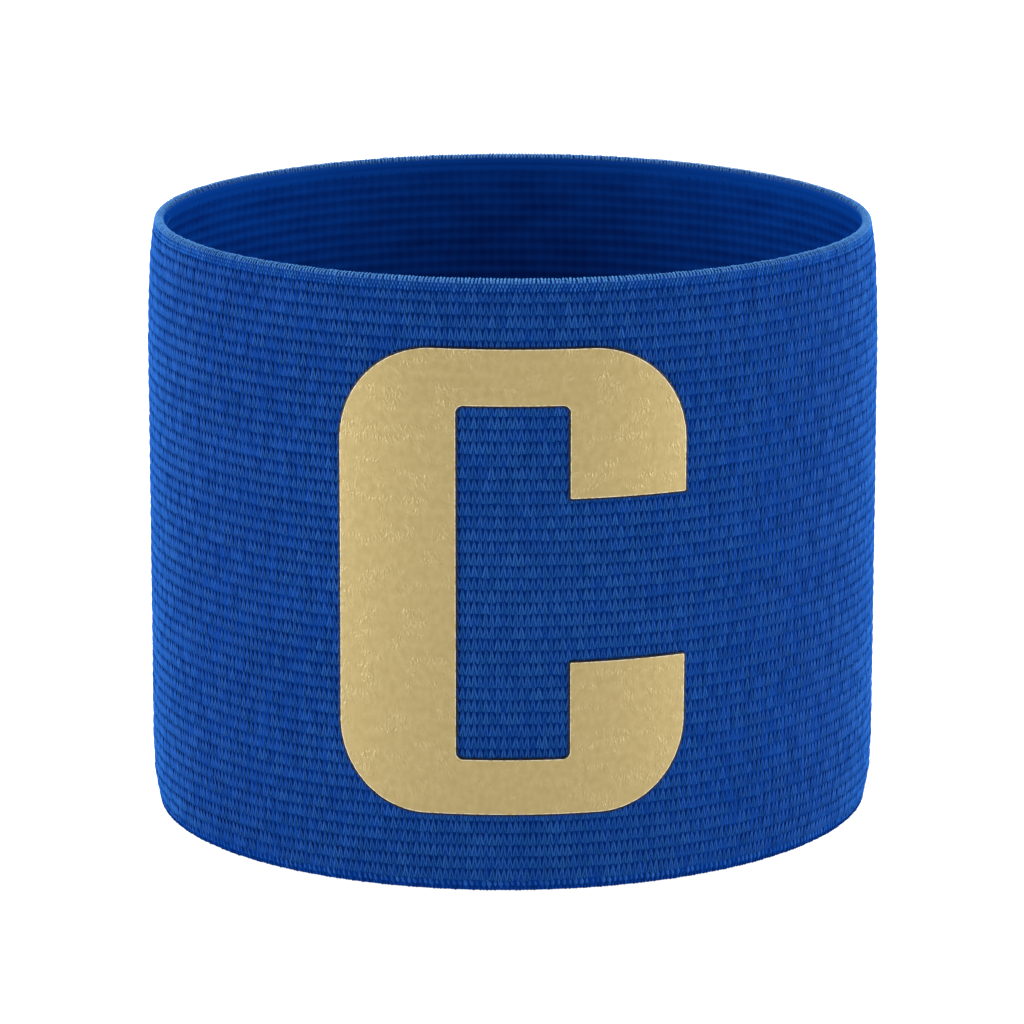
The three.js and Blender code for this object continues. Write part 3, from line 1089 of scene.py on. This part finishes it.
class ARMBAND_OT_selvedges(bpy.types.Operator):
    """Wrap yarn round both edges, and set the rows of single strands beside them"""

    bl_idname = "armband.selvedges"
    bl_label = "Selvedges"

    def execute(self, context):
        settings = context.scene.armband
        band, selvedge = settings.band, settings.selvedge
        # Painted highlight: the upper wraps are painted paler towards the top of the band.
        lit = polyester_yarn(settings, "Wrapped yarn, upper selvedge, painted highlight", "rim_highlight", "yarn_light", edge_highlight=True)
        # Painted shade: the lower wraps take the ground's painted shade, for the shadow along the lower
        # edge.
        dark = polyester_yarn(settings, "Wrapped yarn, lower selvedge, painted shade", "ground", "inside_groove_shade")
        self.wraps(settings, "selvedge_wraps_upper", 1, band.height - band.wall / 2.0, lit)
        self.wraps(settings, "selvedge_wraps_lower", -1, band.wall / 2.0, dark)
        face = polyester_yarn(settings, "Selvedge yarn, outer face", "selvedge", "yarn_dark")
        # Its darker strands take the ground's painted shade.
        foot = polyester_yarn(settings, "Selvedge yarn, lower edge", "yarn_light", "ground")
        for row in STRAND_ROWS:
            self.strands(settings, row, face if row["row"] else foot)
        angle = ring_angles(selvedge.beads)
        z = np.full(len(angle), band.height - selvedge.bead_depth)
        carriers = carrier_table(band, angle, z, -band.wall - selvedge.bead_stand, inside=True)
        dull = polyester_yarn(settings, "Binding yarn, inner face", "inside_light", "ground")
        shapes = [strand_shape("bead_shape", settings, selvedge.bead_width, selvedge.bead_height)]
        scatter("selvedge_stitches_inner", settings, carriers, shapes, dull, BEAD_EVENNESS)
        return {"FINISHED"}

    def wraps(self, settings, name, edge, z, material):
        """Turns of yarn over the upper edge (edge = 1) or the lower edge (edge = -1)."""
        angle = ring_angles(settings.selvedge.wraps)
        carriers = carrier_table(settings.band, angle, np.full(len(angle), z), 0.0)
        carriers["point"][:, 2] += max(edge, 0) * settings.selvedge.wrap_rise
        carriers["along"] = np.stack([-np.sin(angle), np.cos(angle), 0.0 * angle], axis=-1)
        carriers["facing"] = np.stack([np.cos(angle), np.sin(angle), 0.0 * angle], axis=-1)
        shapes = [
            wrap_shape(f"{name}_{lean}_{first}", settings, edge, lean, first)
            for lean in WRAP_LEANS
            for first in (0, 1)
        ]
        scatter(name, settings, carriers, shapes, material, WRAP_EVENNESS)

    def strands(self, settings, row, material):
        """One row of single strands along an edge."""
        band, knit = settings.band, settings.knit
        middle, height = knit_rows(settings)[row["row"]]
        count = settings.selvedge.wraps if row["row"] else knit.stitches
        z = np.full(count, middle + row["up"] * height)
        width = row["wide"] * FULL_TURN / count * band.radius
        lean = row["lean"] / row["wide"]
        shapes = [
            strand_shape(f"{row['piece']}_{more}", settings, width, row["tall"] * height, lean + more)
            for more in STRAND_LEANS
        ]
        carriers = carrier_table(band, ring_angles(count, row["off"]), z, knit.loft / 2.0)
        scatter(row["piece"], settings, carriers, shapes, material)


class ARMBAND_OT_seam(bpy.types.Operator):
    """Sew the loop shut with a zigzag, which shows on both faces"""

    bl_idname = "armband.seam"
    bl_label = "Seam"

    def execute(self, context):
        settings = context.scene.armband
        band, knit, selvedge = settings.band, settings.knit, settings.selvedge
        tall = rim_foot(settings) - knit.foot_row
        count = round(tall / selvedge.seam_pitch)
        pitch = tall / count
        z = knit.foot_row + (np.arange(count) + 0.5) * pitch
        angle = np.full(count, selvedge.seam_place)
        material = polyester_yarn(settings, "Polyester sewing thread", "yarn_light", "yarn_dark")
        width = selvedge.seam_thread
        thread = yarn_tube(ZIGZAG_PATH, selvedge.seam_width, pitch, width, width)
        for name, out, inside in (
            ("seam_zigzag_outer", knit.loft + selvedge.seam_stand, False),
            ("seam_zigzag_inner", -band.wall - selvedge.seam_stand, True),
        ):
            carriers = carrier_table(band, angle, z, out, inside)
            shapes = [shape_object(name + "_shape", thread, tube_faces(len(ZIGZAG_PATH)))]
            scatter(name, settings, carriers, shapes, material, 0.0)
        return {"FINISHED"}


class ARMBAND_OT_letter(bpy.types.Operator):
    """Press the letter of gold film on the front"""

    bl_idname = "armband.letter"
    bl_label = "Letter"

    def execute(self, context):
        settings = context.scene.armband
        band, knit, letter = settings.band, settings.knit, settings.letter
        pitch = FULL_TURN * band.radius / knit.stitches
        gold = resampled(letter_outline(settings), OUTLINE_STEP)
        away = outward(gold)
        gold = gold - away * letter.line / 2.0
        teeth = np.cos(STITCH_TEETH * FULL_TURN * gold[:, 0] / pitch) * np.abs(away[:, 1])
        teeth += np.cos(ROW_TEETH * FULL_TURN * gold[:, 1] / knit.row_pitch) * np.abs(away[:, 0])
        adhesive = gold + away * (letter.line + letter.teeth * teeth)[:, None]
        cut = gold - away * letter.cut
        steps = (pitch, knit.row_pitch / GRID_TO_ROW)
        sides = [np.arange(*side) for side in zip(gold.min(axis=0), gold.max(axis=0), steps)]
        grid = np.stack(np.meshgrid(*sides, indexing="ij"), axis=-1).reshape(-1, 2)
        grid = grid[depth_inside(grid, gold) > GRID_MARGIN * letter.cut]
        count = len(gold)
        rings = [
            (ring * count + index, ring * count + (index + 1) % count)
            for ring in range(3)
            for index in range(count)
        ]
        points = [Vector(point) for point in np.concatenate([adhesive, gold, cut, grid]) / MM]
        found = delaunay_2d_cdt(points, rings, [list(range(count))], 1, OUTLINE_MERGE)
        flat = np.array([point[:] for point in found[0]]) * MM
        ring = np.array([min((source // count for source in sources), default=3) for sources in found[3]])
        piece = self.film(settings, flat, np.minimum(ring, 3), np.array(found[2]))
        fasten(piece, "gold_film", "letter_c")
        return {"FINISHED"}

    def film(self, settings, flat, ring, triangles):
        """The film's top, underside and side, wrapped round the loop."""
        band, knit, letter = settings.band, settings.knit, settings.letter
        angle = FRONT + flat[:, 0] / band.radius
        rows = np.cos(FULL_TURN * (flat[:, 1] - knit.foot_row) / knit.row_pitch)
        drop = np.array([row["drop"] for row in FILM_RINGS])[ring] * letter.film
        top = loop_points(band, angle, flat[:, 1], letter.stand - drop - letter.relief * rows)
        under = loop_points(band, angle, flat[:, 1], letter.stand - 2.0 * letter.film)
        count = len(flat)
        faces = triangles.tolist() + (triangles[:, ::-1] + count).tolist()
        outermost = [*ring[triangles].min(axis=1)] + [0] * len(triangles)
        kinds = [FILM_RINGS[index]["material"] for index in outermost]
        edges = set()
        for face in faces[: len(triangles)]:
            edges.update(zip(face, face[1:] + face[:1]))
        for start, end in sorted(edges):
            if (end, start) not in edges:
                faces.append([end, start, count + start, count + end])
                kinds.append(FILM_RINGS[0]["material"])
        corners = np.concatenate([np.array(face) for face in faces])
        uv = np.concatenate([flat, flat])[corners] / MM
        materials = [gold_film(settings), film_edge_highlight(settings), adhesive_line(settings)]
        return add_piece("letter_film", np.concatenate([top, under]), faces, materials, uv, kinds)


class ARMBAND_OT_elastic_wall(bpy.types.Operator):
    bl_idname = "armband.elastic_wall"
    bl_label = "Elastic wall"

    def execute(self, context):
        settings = context.scene.armband
        band, knit, selvedge = settings.band, settings.knit, settings.selvedge
        rows = knit_rows(settings)
        half = band.wall / 2.0
        section, kinds = [], []

        def add_face(profile, out, depth, kind, ordered):
            for middle, height in ordered:
                for row in profile:
                    z = middle + row["up"] * height
                    if half < z < rim_foot(settings):
                        section.append((out + depth * row["sunk"], z))
                        kinds.append(kind)

        def add_edge(z, edge, radius, kind):
            for step in range(WRAP_STEPS + 1):
                across, up = edge_curve(edge, math.pi * step / WRAP_STEPS)
                section.append((-half + edge * radius * across, z + edge * radius * up))
                kinds.append(kind)

        add_face(OUTER_ROW, knit.loft - ROOT_DEPTH * knit.yarn_rise, -knit.groove, 0, rows)
        add_edge(band.height - half, 1, half - selvedge.wrap_rise, 2)
        mirrored = [{"up": -row["up"], "sunk": row["sunk"]} for row in INNER_ROW]
        add_face(mirrored, -band.wall, knit.rib, 1, rows[::-1])
        # The wall's lower edge takes the ground's painted shade.
        add_edge(half, -1, half - selvedge.foot_rise, 0)
        under = polyester_yarn(settings, "Yarn under the wraps", "yarn_light", "yarn_dark")
        materials = [shaded_ground_yarn(settings), inside_knit(settings), under]
        wall = add_ring("elastic_wall", band, section, materials, kinds)
        fasten(wall, "elastic", "elastic_band")
        return {"FINISHED"}


class ARMBAND_PT_panel(bpy.types.Panel):
    """Lists the steps that build the armband"""

    bl_idname = "ARMBAND_PT_panel"
    bl_label = "Captain Armband"
    bl_space_type = "VIEW_3D"
    bl_region_type = "UI"
    bl_category = "Armband"

    def draw(self, context):
        for step in STEPS:
            self.layout.operator(step.bl_idname)


FACE_PIECES = ("face_stitches_lower", "face_stitches_middle", "face_stitches_upper", "face_stitches_top")
STEPS = (
    ARMBAND_OT_stage,
    ARMBAND_OT_face_stitches,
    ARMBAND_OT_selvedges,
    ARMBAND_OT_seam,
    ARMBAND_OT_letter,
    ARMBAND_OT_elastic_wall,
)
GROUPS = (
    ArmbandBand,
    ArmbandKnit,
    ArmbandLetter,
    ArmbandSelvedge,
    ArmbandColours,
    ArmbandStage,
    ArmbandSettings,
)
CLASSES = GROUPS + STEPS + (ARMBAND_PT_panel,)


def register():
    for cls in CLASSES:
        bpy.utils.register_class(cls)
    bpy.types.Scene.armband = PointerProperty(type=ArmbandSettings)


def unregister():
    del bpy.types.Scene.armband
    for cls in reversed(CLASSES):
        bpy.utils.unregister_class(cls)


def main():
    register()
    bpy.ops.armband.stage()
    bpy.ops.armband.face_stitches()
    bpy.ops.armband.selvedges()
    bpy.ops.armband.seam()
    bpy.ops.armband.letter()
    bpy.ops.armband.elastic_wall()


if __name__ == "__main__":
    main()
